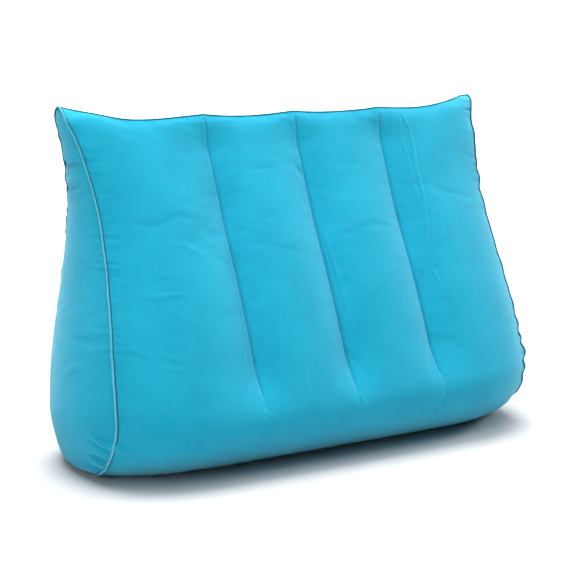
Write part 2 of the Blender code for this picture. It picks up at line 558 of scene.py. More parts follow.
# %% [markdown]
# ## Creases placed one by one
# A few creases are too much a matter of chance to wait for: where the pillow was folded in its box,
# and where the skin is pinched by a weld's end or a tight seam. Each row of the table is one crease:
# its face, how wide and how high it is, and a few places along it, as seen square on to the face. A
# crease that stands up is a pinched fold, and one with a height below zero is pressed in. Beside it
# the skin gives way a little to the other side, and it fades out towards both ends.

# %% Creases
CREASES = (
    # face, half width, height, places (across, up)
    ("front", 0.0017, 0.0014, ((0.172, 0.442), (0.177, 0.43), (0.181, 0.412), (0.179, 0.387),
        (0.1765, 0.358), (0.176, 0.329), (0.17, 0.299), (0.1655, 0.276), (0.163, 0.258),
        (0.166, 0.241))),
    ("front", 0.0017, 0.0011, ((0.168, 0.436), (0.1655, 0.412), (0.1665, 0.387), (0.167, 0.365),
        (0.1662, 0.343), (0.167, 0.321), (0.1685, 0.3))),
    ("front", 0.0018, 0.0007, ((0.158, 0.239), (0.164, 0.2394), (0.171, 0.2375))),
    ("front", 0.002, 0.0008, ((0.16, 0.236), (0.163, 0.225), (0.167, 0.21))),
    ("front", 0.0018, 0.0012, ((0.005, 0.306), (0.008, 0.278), (0.01, 0.252), (0.0108, 0.217),
        (0.012, 0.178))),
    ("front", 0.0035, -0.0012, ((-0.016, 0.382), (-0.009, 0.371), (-0.003, 0.36))),
    ("front", 0.0024, 0.0008, ((-0.216, 0.296), (-0.196, 0.286), (-0.177, 0.272))),
    ("front", 0.0024, 0.0009, ((-0.27, 0.23), (-0.243, 0.2345), (-0.22, 0.234))),
    ("front", 0.0022, 0.0007, ((-0.246, 0.2205), (-0.2386, 0.217), (-0.232, 0.211))),
    ("front", 0.0022, 0.0007, ((-0.307, 0.188), (-0.3023, 0.1837), (-0.297, 0.179))),
    ("front", 0.0024, -0.001, ((-0.297, 0.1705), (-0.289, 0.167), (-0.279, 0.161))),
    ("front", 0.0024, 0.0008, ((-0.26, 0.167), (-0.249, 0.1638), (-0.238, 0.1595))),
    ("front", 0.0024, 0.0007, ((-0.262, 0.1545), (-0.25, 0.1505), (-0.238, 0.148))),
    ("front", 0.0022, 0.001, ((-0.142, 0.0905), (-0.1343, 0.0856), (-0.123, 0.077))),
    ("front", 0.0022, -0.001, ((0.118, 0.056), (0.1241, 0.0619), (0.13, 0.069))),
    ("front", 0.0024, 0.0007, ((0.0, 0.096), (0.005, 0.083), (0.012, 0.072))),
    ("front", 0.0034, 0.0038, ((-0.332, 0.055), (-0.314, 0.0552), (-0.309, 0.0546),
        (-0.304, 0.0525))),
    ("front", 0.0028, -0.0012, ((0.304, 0.075), (0.29, 0.07), (0.276, 0.067))),
    ("back", 0.003, -0.0016, ((-0.24, 0.33), (-0.205, 0.318), (-0.17, 0.29))),
    ("back", 0.0028, 0.001, ((-0.29, 0.12), (-0.25, 0.14), (-0.21, 0.15))),
    ("back", 0.0018, 0.0008, ((0.165, 0.43), (0.172, 0.38), (0.171, 0.32))),
    ("back", 0.0028, 0.001, ((0.23, 0.19), (0.262, 0.18), (0.29, 0.16))),
    ("back", 0.0026, -0.0012, ((0.01, 0.18), (-0.006, 0.142), (-0.03, 0.11))),
    ("left", 0.0036, -0.0028, ((0.096, 0.3845), (0.067, 0.3866), (0.041, 0.3887), (0.022, 0.392))),
    ("left", 0.0036, -0.0028, ((0.098, 0.3525), (0.067, 0.3555), (0.043, 0.3584), (0.022, 0.362))),
    ("left", 0.005, -0.0012, ((-0.004, 0.177), (-0.028, 0.1765), (-0.052, 0.1792))),
    ("left", 0.004, 0.0009, ((0.01, 0.128), (-0.012, 0.14), (-0.036, 0.1505))),
    ("left", 0.0034, 0.0042, ((-0.046, 0.068), (-0.0568, 0.062), (-0.065, 0.0575), (-0.073, 0.0552),
        (-0.098, 0.0548))),
    ("left", 0.0028, -0.003, ((-0.048, 0.0605), (-0.059, 0.0555), (-0.068, 0.051),
        (-0.076, 0.0485))),
    ("left", 0.003, -0.0034, ((-0.042, 0.039), (-0.053, 0.035), (-0.07, 0.0315))),
    ("left", 0.003, 0.0022, ((-0.038, 0.033), (-0.05, 0.029), (-0.066, 0.026))),
    ("left", 0.003, -0.0034, ((-0.024, 0.024), (-0.037, 0.019), (-0.056, 0.015))),
    ("right", 0.0036, -0.0018, ((0.094, 0.372), (0.06, 0.375), (0.03, 0.379))),
    ("right", 0.0036, -0.0014, ((-0.086, 0.078), (-0.066, 0.074), (-0.048, 0.074))),
    ("right", 0.003, -0.0014, ((0.12, 0.09), (0.1, 0.094), (0.08, 0.096))),
)
print("creases:", len(CREASES))

# %% How a crease is raised
# The lip on either side gives way by this share of the height. Its place and width count in half
# widths of the crease.
LIP = 0.30
LIP_PLACE = 2.2
LIP_WIDTH = 1.1
# How bluntly a crease ends, lower being blunter, and the least share of the way that counts.
BLUNTNESS = 0.7
CREASE_END = 0.02
PATH_STEPS = 8


def crease_path(places):
    """Points along a crease, on a smooth curve through its places."""
    given = np.array(places)
    ends = np.concatenate((2 * given[:1] - given[1:2], given, 2 * given[-1:] - given[-2:-1]))
    t = np.linspace(0, 1, PATH_STEPS + 1)[:-1, None]
    pieces = []
    for a, b, c, d in zip(ends, ends[1:], ends[2:], ends[3:]):
        slope, bend, twist = c - a, 2 * a - 5 * b + 4 * c - d, 3 * b - a - 3 * c + d
        pieces.append(b + (slope * t + bend * t**2 + twist * t**3) / 2)
    return np.concatenate((*pieces, given[-1:]))


def crease_height(flat, row):
    """How far one crease moves each point of its face outwards."""
    _, half_width, height, places = row
    path = crease_path(places)
    start, step = path[:-1], np.diff(path, axis=0)
    near = np.full(len(flat), 1e9)
    place = np.zeros(len(flat))
    for k, (a, d) in enumerate(zip(start, step)):
        t = np.clip((flat - a) @ d / (d @ d), 0, 1)
        gap = np.linalg.norm(flat - a - t[:, None] * d, axis=1)
        closer = gap < near
        near[closer] = gap[closer]
        place[closer] = (k + t[closer]) / len(step)
    off = near / half_width
    profile = np.exp(-off**2) - LIP * np.exp(-((off - LIP_PLACE) / LIP_WIDTH) ** 2)
    along = np.clip(place, CREASE_END, 1 - CREASE_END)
    return height * profile * np.sin(np.pi * along) ** BLUNTNESS


def grid_normals(grid, closed):
    """Unit normals of a grid of points, either way round."""
    across = np.gradient(grid, axis=0)
    if closed:
        along = (np.roll(grid, -1, 1) - np.roll(grid, 1, 1)) / 2
    else:
        along = np.gradient(grid, axis=1)
    normal = np.cross(across, along)
    return normal / np.maximum(np.linalg.norm(normal, axis=-1, keepdims=True), 1e-12)


def gusset_away(gusset, side):
    """+1 or -1, whichever turns a gusset's normals outwards."""
    middle = grid_normals(gusset, False)[HALF // 2, GUSSET_COLUMNS // 2]
    return 1.0 if middle[0] * side > 0 else -1.0


def creased(grid, face, away, where):
    """The grid with a face's creases. away is +1 or -1, whichever turns normals outwards."""
    closed = face in ("front", "back")
    axes = (0, 2) if closed else (1, 2)
    flat = grid[..., axes].reshape(-1, 2)
    height = np.zeros(len(flat))
    for row in CREASES:
        if row[0] == face:
            height += crease_height(flat, row)
    height = (height.reshape(grid.shape[:2]) * where)[..., None]
    return grid + grid_normals(grid, closed) * away * height


FRONT_SIDE = (np.arange(STATIONS) < HALF).astype(float)
BAND_AWAY = 1.0 if grid_normals(BAND, True)[COLUMNS // 2, HALF // 2, 1] < 0 else -1.0
BAND = creased(BAND, "front", BAND_AWAY, FRONT_SIDE)
BAND = creased(BAND, "back", BAND_AWAY, 1 - FRONT_SIDE)
for side, name, grid in ((-1, "left", LEFT), (1, "right", RIGHT)):
    grid[1:-1, 1:-1] = creased(grid, name, gusset_away(grid, side), 1.0)[1:-1, 1:-1]
HIGHEST = float(np.abs(skin_points(BAND, LEFT, RIGHT) - TARGET).max())
print("wrinkles and creases up to", round(HIGHEST * 1000, 1), "mm")

# %% [markdown]
# ## Seams and welds
# A weld is pressed by a hot bar, which leaves a narrow groove with crisp edges. Along the seams the
# skin is gathered by the stiff welt: the seam wanders a little, and the cloth beside it stands in
# short pleats. Both are worked out from the distance to the seam or weld, so they stay sharp whatever
# the cloth did before. The wander comes from a few sine waves whose lengths and phases are drawn
# from a random generator with a fixed seed, so every run gives the same pillow.

# %% Welds
WELD_GROOVE_DEPTH = 0.0020
WELD_GROOVE_HALF_WIDTH = 0.0015
# Length over which the groove fades at either end.
WELD_FADE = 0.012


def weld_groove(grid):
    """The grid with a narrow groove pressed along each weld."""
    low, high = WELD_SPAN
    heights = grid[..., 2]
    for column in WELD_COLUMNS:
        apart = np.abs(grid[..., 0] - grid[column, :, 0])
        above, below = heights[column] - low, high - heights[column]
        fade = np.clip(above / WELD_FADE + 0.5, 0, 1) * np.clip(below / WELD_FADE, 0, 1)
        press = WELD_GROOVE_DEPTH * np.exp(-(apart / WELD_GROOVE_HALF_WIDTH) ** 2) * fade
        grid = grid - grid_normals(grid, True) * BAND_AWAY * press[..., None]
    return grid


BAND = weld_groove(BAND)
print("grooves:", len(WELD_COLUMNS), "welds, front and back")

# %% Seams that wander, with pleats beside them
WANDER = 0.0007
WANDER_REACH = 0.016
WANDER_LENGTHS = (0.022, 0.070)
# Share of the wander on the left seam's front, which is pulled straighter.
CALM_FRONT = 0.4
SWAY_REACH = 0.010
SEAM_SWAYS = {
    # side, front: (height, how far the seam stands out)
    (-1, False): ((0.288, 0.0), (0.2965, 0.0014), (0.303, 0.0), (0.3075, 0.0), (0.3127, 0.0017),
        (0.3178, 0.0), (0.323, 0.0017), (0.329, 0.0), (0.358, 0.0), (0.3665, 0.002), (0.375, 0.0),
        (0.414, 0.0), (0.4207, 0.0014), (0.427, 0.0)),
    (1, True): ((0.018, 0.0), (0.03, -0.0016), (0.045, 0.0034), (0.056, 0.0038), (0.0692, 0.0014),
        (0.081, 0.0044), (0.0906, 0.0016), (0.101, 0.0036), (0.1148, -0.001), (0.1219, 0.0014),
        (0.1316, -0.001), (0.1415, 0.0014), (0.1555, -0.0008), (0.17, 0.0004), (0.19, -0.0002),
        (0.322, 0.0002), (0.331, -0.0006), (0.3445, 0.0012), (0.358, -0.0006), (0.368, 0.001),
        (0.38, -0.0004), (0.397, -0.0012), (0.406, 0.0), (0.42, -0.001), (0.438, 0.0006),
        (0.456, 0.0)),
}
PLEAT_DEPTH = 0.0004
PLEAT_REACH = 0.012
PLEAT_LENGTHS = (0.7 * 0.009, 1.8 * 0.009)
PLEAT_WAVES = 14
# Brings the pleats' profile beside the seam to about 1 at its highest.
PLEAT_PEAK = 2.3
# The pleats come in patches: their least share, and the patches' lengths.
PATCH_LEAST = 0.35
PATCH_LENGTHS = (0.10, 0.30)
SEAM_GROOVE_DEPTH = 0.0013
SEAM_GROOVE_HALF_WIDTH = 0.0019
print("swayed stretches:", {key: len(rows) for key, rows in SEAM_SWAYS.items()})

# %% Waves along a seam
SEAM_PASSES = 8
SEAM_SEED = 7


def waves(length, seed, lengths, count=9):
    """Smooth values between about -1 and 1 along a closed seam, the same for the same seed."""
    draw = np.random.default_rng(seed)
    laps = length[-1] / draw.uniform(*lengths, count)
    phases = draw.uniform(0, 2 * np.pi, count)
    weights = draw.uniform(0.4, 1.0, count)
    around = 2 * np.pi * length / length[-1]
    rows = [w * np.sin(np.round(n) * around + p) for n, p, w in zip(laps, phases, weights)]
    return sum(rows) / np.sqrt(sum(weights**2))


def seam_length(seam):
    """Distance along a closed seam at each of its points."""
    steps = np.linalg.norm(np.roll(seam, -1, 0) - seam, axis=1)
    return np.cumsum(steps)


def gusset_rim(gusset):
    """Values round a gusset's rim, in the order of the stations."""
    return np.concatenate((gusset[:HALF, 0], gusset[HALF:0:-1, -1]))


def seam_outwards(band_normals, gusset_normals, column):
    """The way outwards along a seam, midway between the band's and the gusset's normals."""
    middle = band_normals[column] + gusset_rim(gusset_normals)
    for _ in range(SEAM_PASSES):
        middle = softened(middle, 0, True)
    return middle / np.linalg.norm(middle, axis=1)[:, None]


print("the left seam is", round(float(seam_length(BAND[0])[-1]), 3), "m long")


# %% Gathering both sides
def gathered(grid, normals, apart, values, outwards, side):
    """A grid moved sideways near its seam, pleated beside it, and drawn in along it."""
    wander, pleats, sway = values
    near = np.exp(-(apart / WANDER_REACH) ** 2) * wander
    out = np.exp(-(apart / SWAY_REACH) ** 2) * sway
    rise = apart / PLEAT_REACH
    stand = PLEAT_DEPTH * pleats * PLEAT_PEAK * rise * np.exp(-(rise**2))
    groove = SEAM_GROOVE_DEPTH * np.exp(-(apart / SEAM_GROOVE_HALF_WIDTH) ** 2)
    sideways = near[..., None] * np.array((side * WANDER, 0, 0))
    return grid + sideways + normals * stand[..., None] + outwards * (out - groove)[..., None]


def gather(band, gusset, column, side, seed, front_wander):
    """Gathers one side: its seam, the band beside it and its gusset."""
    length = seam_length(band[column])
    on_front = np.arange(STATIONS) < HALF
    wander = waves(length, seed, WANDER_LENGTHS) * np.where(on_front, front_wander, 1.0)
    patchy = PATCH_LEAST + (1 - PATCH_LEAST) * np.abs(waves(length, seed + 2, PATCH_LENGTHS))
    pleats = waves(length, seed + 1, PLEAT_LENGTHS, PLEAT_WAVES) * patchy
    heights = band[column, :, 2]
    level = ((0.0, 0.0), (0.5, 0.0))
    sways = [ease(SEAM_SWAYS.get((side, front), level), heights) for front in (True, False)]
    sway = np.where(on_front, *sways)
    band_normals = grid_normals(band, True) * BAND_AWAY
    gusset_normals = grid_normals(gusset, False) * gusset_away(gusset, side)
    outwards = seam_outwards(band_normals, gusset_normals, column)
    apart = np.linalg.norm(band - band[column], axis=-1)
    band = gathered(band, band_normals, apart, (wander, pleats, sway), outwards, side)
    front_gap = np.linalg.norm(gusset - gusset[:, :1], axis=-1)
    back_gap = np.linalg.norm(gusset - gusset[:, -1:], axis=-1)
    nearer = front_gap < back_gap
    rows = [np.where(nearer, *seam_rows(value[:, None])) for value in (wander, pleats, sway)]
    ways = np.where(nearer[..., None], *[way[:, None] for way in seam_rows(outwards)])
    gusset = gathered(gusset, gusset_normals, np.minimum(front_gap, back_gap), rows, ways, side)
    return band, gusset


BAND, LEFT = gather(BAND, LEFT, 0, -1, SEAM_SEED, CALM_FRONT)
BAND, RIGHT = gather(BAND, RIGHT, -1, 1, SEAM_SEED + 10, 1.0)
DEEPEST = float(np.minimum(skin_points(BAND, LEFT, RIGHT)[:, 2], 0).min())
for grid in (BAND, LEFT, RIGHT):
    np.maximum(grid[..., 2], 0.0, out=grid[..., 2])
print("deepest point under the floor before it was brought back:", round(DEEPEST * 1000, 2), "mm")

# %% [markdown]
# ## The skin becomes an object
# The weave of the flock needs a map, so that its threads follow the cloth and not the room. The band
# is mapped by its own length across and along, and each gusset by its side view, all in metres, so
# one thread has one size everywhere.

# %% Making the piece
SHARP_ANGLE = math.radians(38)
# Where the gussets lie on the map, clear of the band, and the band's last step along it.
GUSSET_ON_MAP = (1.5, 0.0)
LAST_STEP = 0.003


def lengths(grid, axis):
    """Distance along an axis of the grid, averaged over the other, so the map stays straight."""
    steps = np.linalg.norm(np.diff(grid, axis=axis), axis=-1).mean(axis=1 - axis)
    return np.concatenate(((0.0,), np.cumsum(steps)))


def flat_places():
    """A place in metres for each point of the skin, the band's last row apart."""
    across = lengths(BAND, 0)
    along = lengths(BAND, 1)
    band = np.stack(np.broadcast_arrays(across[:, None], along[None, :]), -1)
    places = [band.reshape(-1, 2)]
    for grid in (LEFT, RIGHT):
        places.append(grid[1:-1, 1:-1][..., (1, 2)].reshape(-1, 2))
    return np.concatenate(places)


def map_in_metres(data):
    """Lays a UV map in metres on the skin. A gusset's faces read their own side view at the rim."""
    corners = np.empty(len(data.loops), int)
    data.loops.foreach_get("vertex_index", corners)
    places = flat_places()[corners]
    starts = np.empty(len(data.polygons), int)
    sizes = np.empty(len(data.polygons), int)
    data.polygons.foreach_get("loop_start", starts)
    data.polygons.foreach_get("loop_total", sizes)
    face_of_corner = np.repeat(np.arange(len(starts)), sizes)
    band_faces = (COLUMNS - 1) * STATIONS
    on_gusset = face_of_corner >= band_faces
    points = np.empty(len(data.vertices) * 3)
    data.vertices.foreach_get("co", points)
    points = points.reshape(-1, 3)
    places[on_gusset] = points[corners[on_gusset]][:, (1, 2)] + GUSSET_ON_MAP
    last_row = (face_of_corner % STATIONS == STATIONS - 1) & ~on_gusset & (corners % STATIONS == 0)
    places[last_row, 1] = lengths(BAND, 1)[-1] + LAST_STEP
    layer = data.uv_layers.new(name="cloth")
    layer.data.foreach_set("uv", places.ravel())


skin_data = skin_mesh("air_cushion", skin_points(BAND, LEFT, RIGHT), FACES)
map_in_metres(skin_data)
skin_data.shade_smooth()
skin_data.set_sharp_from_angle(angle=SHARP_ANGLE)
air_cushion = in_scene("air_cushion", skin_data)
TRIANGLES = sum(len(face.vertices) - 2 for face in skin_data.polygons)
print("air_cushion:", len(skin_data.vertices), "points,", TRIANGLES, "triangles")

# %% [markdown]
# ## The welt
# Where gusset and band meet, their edges are welded together and covered by a narrow bead of the same
# cloth. It follows a path, so Geometry Nodes sweep it: the path is resampled to even steps, moved
# about by a little noise, and given a round section whose thickness varies. Towards the ears the
# bead is pulled tight and thin, and towards the foot it lies fuller. The tree's sizes are named
# inputs, which makes one tree serve every welt.

# %% Helpers that add nodes
def fill(tree, node, inputs):
    """Fills a node's inputs with values or from other nodes' outputs."""
    for key, value in inputs.items():
        if isinstance(value, bpy.types.NodeSocket):
            tree.links.new(value, node.inputs[key])
        else:
            node.inputs[key].default_value = value


def add(tree, kind, inputs=(), **options):
    """Adds a node, sets its options and fills its inputs."""
    made = tree.nodes.new(kind)
    for name, value in options.items():
        setattr(made, name, value)
    fill(tree, made, dict(inputs))
    return made


print("helpers: fill and add")


# %% The welt's node tree
WELT_INPUTS = {
    # name: value in metres, or a plain number
    "Radius": 0.0018,
    "Fuller Low Down": 0.0008,
    "Fuller Below": 0.300,
    "Step": 0.0022,
    "Wobble": 0.0004,
    "Wobble Length": 0.020,
    "Uneven Thickness": 0.12,
    "Seed": 3.0,
}
WELT_SIDES = 12
# Keeps the noise of the thickness apart from the noise of the wobble.
SEED_APART = 11.0


def welt_tree():
    """A tree that turns the path of a welt into a round, slightly uneven bead of cloth."""
    tree = bpy.data.node_groups.new("welt", "GeometryNodeTree")
    face = tree.interface
    face.new_socket("Geometry", in_out="INPUT", socket_type="NodeSocketGeometry")
    for name in WELT_INPUTS:
        face.new_socket(name, in_out="INPUT", socket_type="NodeSocketFloat")
    face.new_socket("Cloth", in_out="INPUT", socket_type="NodeSocketMaterial")
    face.new_socket("Geometry", in_out="OUTPUT", socket_type="NodeSocketGeometry")
    given = add(tree, "NodeGroupInput").outputs
    even = add(tree, "GeometryNodeResampleCurve", {
        "Curve": given["Geometry"], "Length": given["Step"]}, mode="LENGTH")
    scale = add(tree, "ShaderNodeMath", {
        0: 1.0, 1: given["Wobble Length"]}, operation="DIVIDE").outputs[0]
    noise = add(tree, "ShaderNodeTexNoise", {
        "W": given["Seed"], "Scale": scale}, noise_dimensions="4D")
    centred = add(tree, "ShaderNodeVectorMath", {
        0: noise.outputs["Color"], 1: (0.5, 0.5, 0.5)}, operation="SUBTRACT")
    moved = add(tree, "ShaderNodeVectorMath", {
        0: centred.outputs[0], "Scale": given["Wobble"]}, operation="SCALE")
    placed = add(tree, "GeometryNodeSetPosition", {
        "Geometry": even.outputs["Curve"], "Offset": moved.outputs[0]})
    other_seed = add(tree, "ShaderNodeMath", {
        0: given["Seed"], 1: SEED_APART}, operation="ADD").outputs[0]
    lumps = add(tree, "ShaderNodeTexNoise", {
        "W": other_seed, "Scale": scale}, noise_dimensions="4D")
    around_zero = add(tree, "ShaderNodeMath", {
        0: lumps.outputs["Fac"], 1: 0.5}, operation="SUBTRACT")
    share = add(tree, "ShaderNodeMath", {
        0: around_zero.outputs[0], 1: given["Uneven Thickness"]}, operation="MULTIPLY")
    thickness = add(tree, "ShaderNodeMath", {
        0: share.outputs[0], 1: 2.0, 2: 1.0}, operation="MULTIPLY_ADD")
    place = add(tree, "GeometryNodeInputPosition")
    height = add(tree, "ShaderNodeSeparateXYZ", {"Vector": place.outputs[0]}).outputs["Z"]
    fuller = add(tree, "ShaderNodeMapRange", {
        "Value": height, "From Min": given["Fuller Below"], "From Max": 0.0, "To Min": 0.0,
        "To Max": given["Fuller Low Down"]}, interpolation_type="SMOOTHSTEP")
    even_radius = add(tree, "ShaderNodeMath", {
        0: given["Radius"], 1: fuller.outputs[0]}, operation="ADD")
    radius = add(tree, "ShaderNodeMath", {
        0: thickness.outputs[0], 1: even_radius.outputs[0]}, operation="MULTIPLY")
    ring = add(tree, "GeometryNodeCurvePrimitiveCircle", {"Resolution": WELT_SIDES, "Radius": 1.0})
    swept = add(tree, "GeometryNodeCurveToMesh", {
        "Curve": placed.outputs[0], "Profile Curve": ring.outputs["Curve"],
        "Scale": radius.outputs[0], "Fill Caps": True})
    smooth = add(tree, "GeometryNodeSetShadeSmooth", {"Geometry": swept.outputs[0]})
    real = add(tree, "GeometryNodeRealizeInstances", {"Geometry": smooth.outputs[0]})
    dressed = add(tree, "GeometryNodeSetMaterial", {
        "Geometry": real.outputs[0], "Material": given["Cloth"]})
    add(tree, "NodeGroupOutput", {"Geometry": dressed.outputs[0]})
    return tree


print("inputs of the welt's tree:", ", ".join(WELT_INPUTS))

# %% [markdown]
# ## Two finishes
# The cloth is PVC film with a coat of short flock, rolled with a fine woven grain. Flock scatters
# light like velvet: it is very rough, with a pale sheen where it is seen edge on. Its pile leans this
# way and that, which shows as soft clouds of lighter and darker cloth. The grain is too fine to
# model, so it is a bump: two waves on the map in metres, with a little noise for the pile. The welt
# is the same film, but pressed by the hot bar, so its flock is flatter and a little glossier. Light
# and shade are painted on it: its flanks by the seam carry painted shade, and its crest painted
# light. Each point knows how far it faces outwards from an attribute that is stored on the mesh.

# %% Colours from sRGB
def linear(code):
    """A colour such as "29B3D4" as Blender's linear red, green, blue and alpha."""
    parts = [int(code[k:k + 2], 16) / 255 for k in (0, 2, 4)]
    return (*[c / 12.92 if c <= 0.04045 else ((c + 0.055) / 1.055) ** 2.4 for c in parts], 1.0)


def fresh_material(name):
    """A new material, its node tree and its shader."""
    material = bpy.data.materials.new(name)
    material.use_nodes = True
    return material, material.node_tree, material.node_tree.nodes["Principled BSDF"]


print("half-bright sRGB is", round(linear("808080")[0], 3), "as a linear value")


# %% Flocked cloth
FLOCK_DARK = "0D9ABB"
FLOCK_LIGHT = "16A6C6"
SHEEN = "BFEFFA"
BROAD_CLOUDS = 0.060
FINE_CLOUDS = 0.007
# Both are drawn coarser than real flock, whose fibres are too fine to show at this distance.
GRAIN_PITCH = 0.0016
PILE_LENGTH = 0.0009
GRAIN_HEIGHT = 0.00014
PILE_HEIGHT = 0.00022


def woven_grain(tree):
    """Height of the rolled grain, from 0 to 1, on the map in metres."""
    place = add(tree, "ShaderNodeUVMap", uv_map="cloth").outputs["UV"]
    scaled = add(tree, "ShaderNodeVectorMath", {
        0: place, "Scale": 2 * math.pi / GRAIN_PITCH}, operation="SCALE")
    parts = add(tree, "ShaderNodeSeparateXYZ", {"Vector": scaled.outputs[0]})
    across = add(tree, "ShaderNodeMath", {0: parts.outputs["X"]}, operation="SINE")
    along = add(tree, "ShaderNodeMath", {0: parts.outputs["Y"]}, operation="SINE")
    both = add(tree, "ShaderNodeMath", {
        0: across.outputs[0], 1: along.outputs[0]}, operation="MULTIPLY")
    raised = add(tree, "ShaderNodeMath", {
        0: both.outputs[0], 1: 0.5, 2: 0.5}, operation="MULTIPLY_ADD")
    return raised.outputs[0]


def flocked_cloth():
    """Turquoise PVC film with a coat of short flock."""
    material, tree, shader = fresh_material("flocked PVC, turquoise")
    place = add(tree, "ShaderNodeTexCoord").outputs["Object"]
    broad = add(tree, "ShaderNodeTexNoise", {
        "Vector": place, "Scale": 1 / BROAD_CLOUDS, "Detail": 3.0})
    fine = add(tree, "ShaderNodeTexNoise", {
        "Vector": place, "Scale": 1 / FINE_CLOUDS, "Detail": 3.0})
    mixed = add(tree, "ShaderNodeMath", {
        0: fine.outputs["Fac"], 1: 0.4, 2: broad.outputs["Fac"]}, operation="MULTIPLY_ADD")
    mottle = add(tree, "ShaderNodeMapRange", {
        "Value": mixed.outputs[0], "From Min": 0.45, "From Max": 0.95})
    colour = add(tree, "ShaderNodeMix", {
        "Factor": mottle.outputs[0], "A": linear(FLOCK_DARK),
        "B": linear(FLOCK_LIGHT)}, data_type="RGBA")
    pile = add(tree, "ShaderNodeTexNoise", {
        "Vector": place, "Scale": 1 / PILE_LENGTH, "Detail": 2.0})
    woven = add(tree, "ShaderNodeBump", {
        "Height": woven_grain(tree), "Distance": GRAIN_HEIGHT, "Strength": 1.0})
    furred = add(tree, "ShaderNodeBump", {
        "Height": pile.outputs["Fac"], "Distance": PILE_HEIGHT, "Strength": 1.0,
        "Normal": woven.outputs[0]})
    fill(tree, shader, {
        "Base Color": colour.outputs["Result"],
        "Normal": furred.outputs[0],
        "Roughness": 0.92,
        "IOR": 1.45,
        "Specular IOR Level": 0.2,
        "Sheen Weight": 0.5,
        "Sheen Roughness": 0.45,
        "Sheen Tint": linear(SHEEN),
    })
    return material


FLOCK = flocked_cloth()
air_cushion.data.materials.append(FLOCK)
print("finish of the cushion:", FLOCK.name)

# %% Welt cloth, pressed, with painted shade and light
# Painted shade for the welt's flanks by the seam, then its crest's colour with painted light.
WELT_PAINTED_SHADE = "06506C"
WELT_CREST_PAINTED_LIT = "52BAD4"
WELT_PATCHES = 0.010
PRESSED_PILE_LENGTH = 0.0012
PRESSED_PILE_HEIGHT = 0.0002


def welt_cloth():
    """Pressed film: painted shade on its flanks by the seam, painted light on its crest."""
    material, tree, shader = fresh_material("flocked PVC, welt with painted shade")
    place = add(tree, "ShaderNodeTexCoord").outputs["Object"]
    patches = add(tree, "ShaderNodeTexNoise", {
        "Vector": place, "Scale": 1 / WELT_PATCHES, "Detail": 3.0}).outputs["Fac"]
    patchy = add(tree, "ShaderNodeMapRange", {
        "Value": patches, "From Min": 0.3, "From Max": 0.7, "To Min": 0.75, "To Max": 1.0})
    rough = add(tree, "ShaderNodeMapRange", {
        "Value": patches, "From Min": 0.3, "From Max": 0.7, "To Min": 0.62, "To Max": 0.78})
    crest = add(tree, "ShaderNodeAttribute", attribute_name="crest").outputs["Fac"]
    # From flanks to crest the colour goes from painted shade to painted light.
    painted_light_mask = add(tree, "ShaderNodeMapRange", {"Value": crest, "From Min": 0.45, "From Max": 0.80})
    patches_and_painted_light = add(tree, "ShaderNodeMath", {
        0: patchy.outputs[0], 1: painted_light_mask.outputs[0]}, operation="MULTIPLY")
    colour = add(tree, "ShaderNodeMix", {
        "Factor": patches_and_painted_light.outputs[0], "A": linear(WELT_PAINTED_SHADE),
        "B": linear(WELT_CREST_PAINTED_LIT)}, data_type="RGBA")
    pile = add(tree, "ShaderNodeTexNoise", {
        "Vector": place, "Scale": 1 / PRESSED_PILE_LENGTH, "Detail": 2.0})
    furred = add(tree, "ShaderNodeBump", {
        "Height": pile.outputs["Fac"], "Distance": PRESSED_PILE_HEIGHT, "Strength": 0.8})
    fill(tree, shader, {
        "Base Color": colour.outputs["Result"],
        "Roughness": rough.outputs[0],
        "Normal": furred.outputs[0],
        "IOR": 1.5,
        "Specular IOR Level": 0.35,
        "Sheen Weight": 0.15,
        "Sheen Roughness": 0.4,
        "Sheen Tint": linear(SHEEN),
    })
    return material


WELT_PAINTED_FINISH = welt_cloth()
print("finish of the welts:", WELT_PAINTED_FINISH.name)

# %% [markdown]
# ## Sweeping the welts
# Each welt starts as a curve that runs along its seam, half sunk into the crease between band and
# gusset. The way outwards comes from the skin's own normals. The tree's inputs are set by their
# identifiers before the object is first looked at, the result is copied to a plain mesh, and the
# modifier goes away with the curve.

# %% Paths of the welts
WELT_LIFT = 0.0010
TOP_WELT_LIFT = 0.0004
FLOOR_CLEARANCE = 0.0025
# A fold covers the left welt here: its height, how far it reaches up and down, and how deep it lies.
COVERED = (0.0545, 0.0035, 0.0030)
WAY_PASSES = 6


def seam_points(indices):
    """Places along a seam, and the way outwards at each, smoothed along it."""
    points = np.array([skin_data.vertices[i].co for i in indices])
    normals = np.array([skin_data.vertex_normals[i].vector for i in indices])
    for _ in range(WAY_PASSES):
        normals[1:-1] = (normals[:-2] + 2 * normals[1:-1] + normals[2:]) / 4
    return points, normals / np.linalg.norm(normals, axis=1)[:, None]


def welt_path(indices, lift, covered=False):
    """A welt's path, lifted out of its seam, and the way outwards. A fold may cover it somewhere."""
    points, outwards = seam_points(indices)
    path = points + outwards * lift
    if covered:
        height, reach, drop = COVERED
        under = np.exp(-((path[:, 2] - height) / reach) ** 2) * (path[:, 1] < 0)
        path -= outwards * (drop * under)[:, None]
    path[:, 2] = np.maximum(path[:, 2], FLOOR_CLEARANCE)
    return path, outwards


LEFT_SEAM = range(STATIONS)
RIGHT_SEAM = range((COLUMNS - 1) * STATIONS, COLUMNS * STATIONS)
TOP_SEAM = range(STATIONS, (COLUMNS - 1) * STATIONS, STATIONS)
LEFT_PATH = welt_path(LEFT_SEAM, WELT_LIFT, True)
RIGHT_PATH = welt_path(RIGHT_SEAM, WELT_LIFT)
TOP_PATH = welt_path(TOP_SEAM, TOP_WELT_LIFT)
print("points along the welts:", len(LEFT_SEAM), len(RIGHT_SEAM), len(TOP_SEAM))
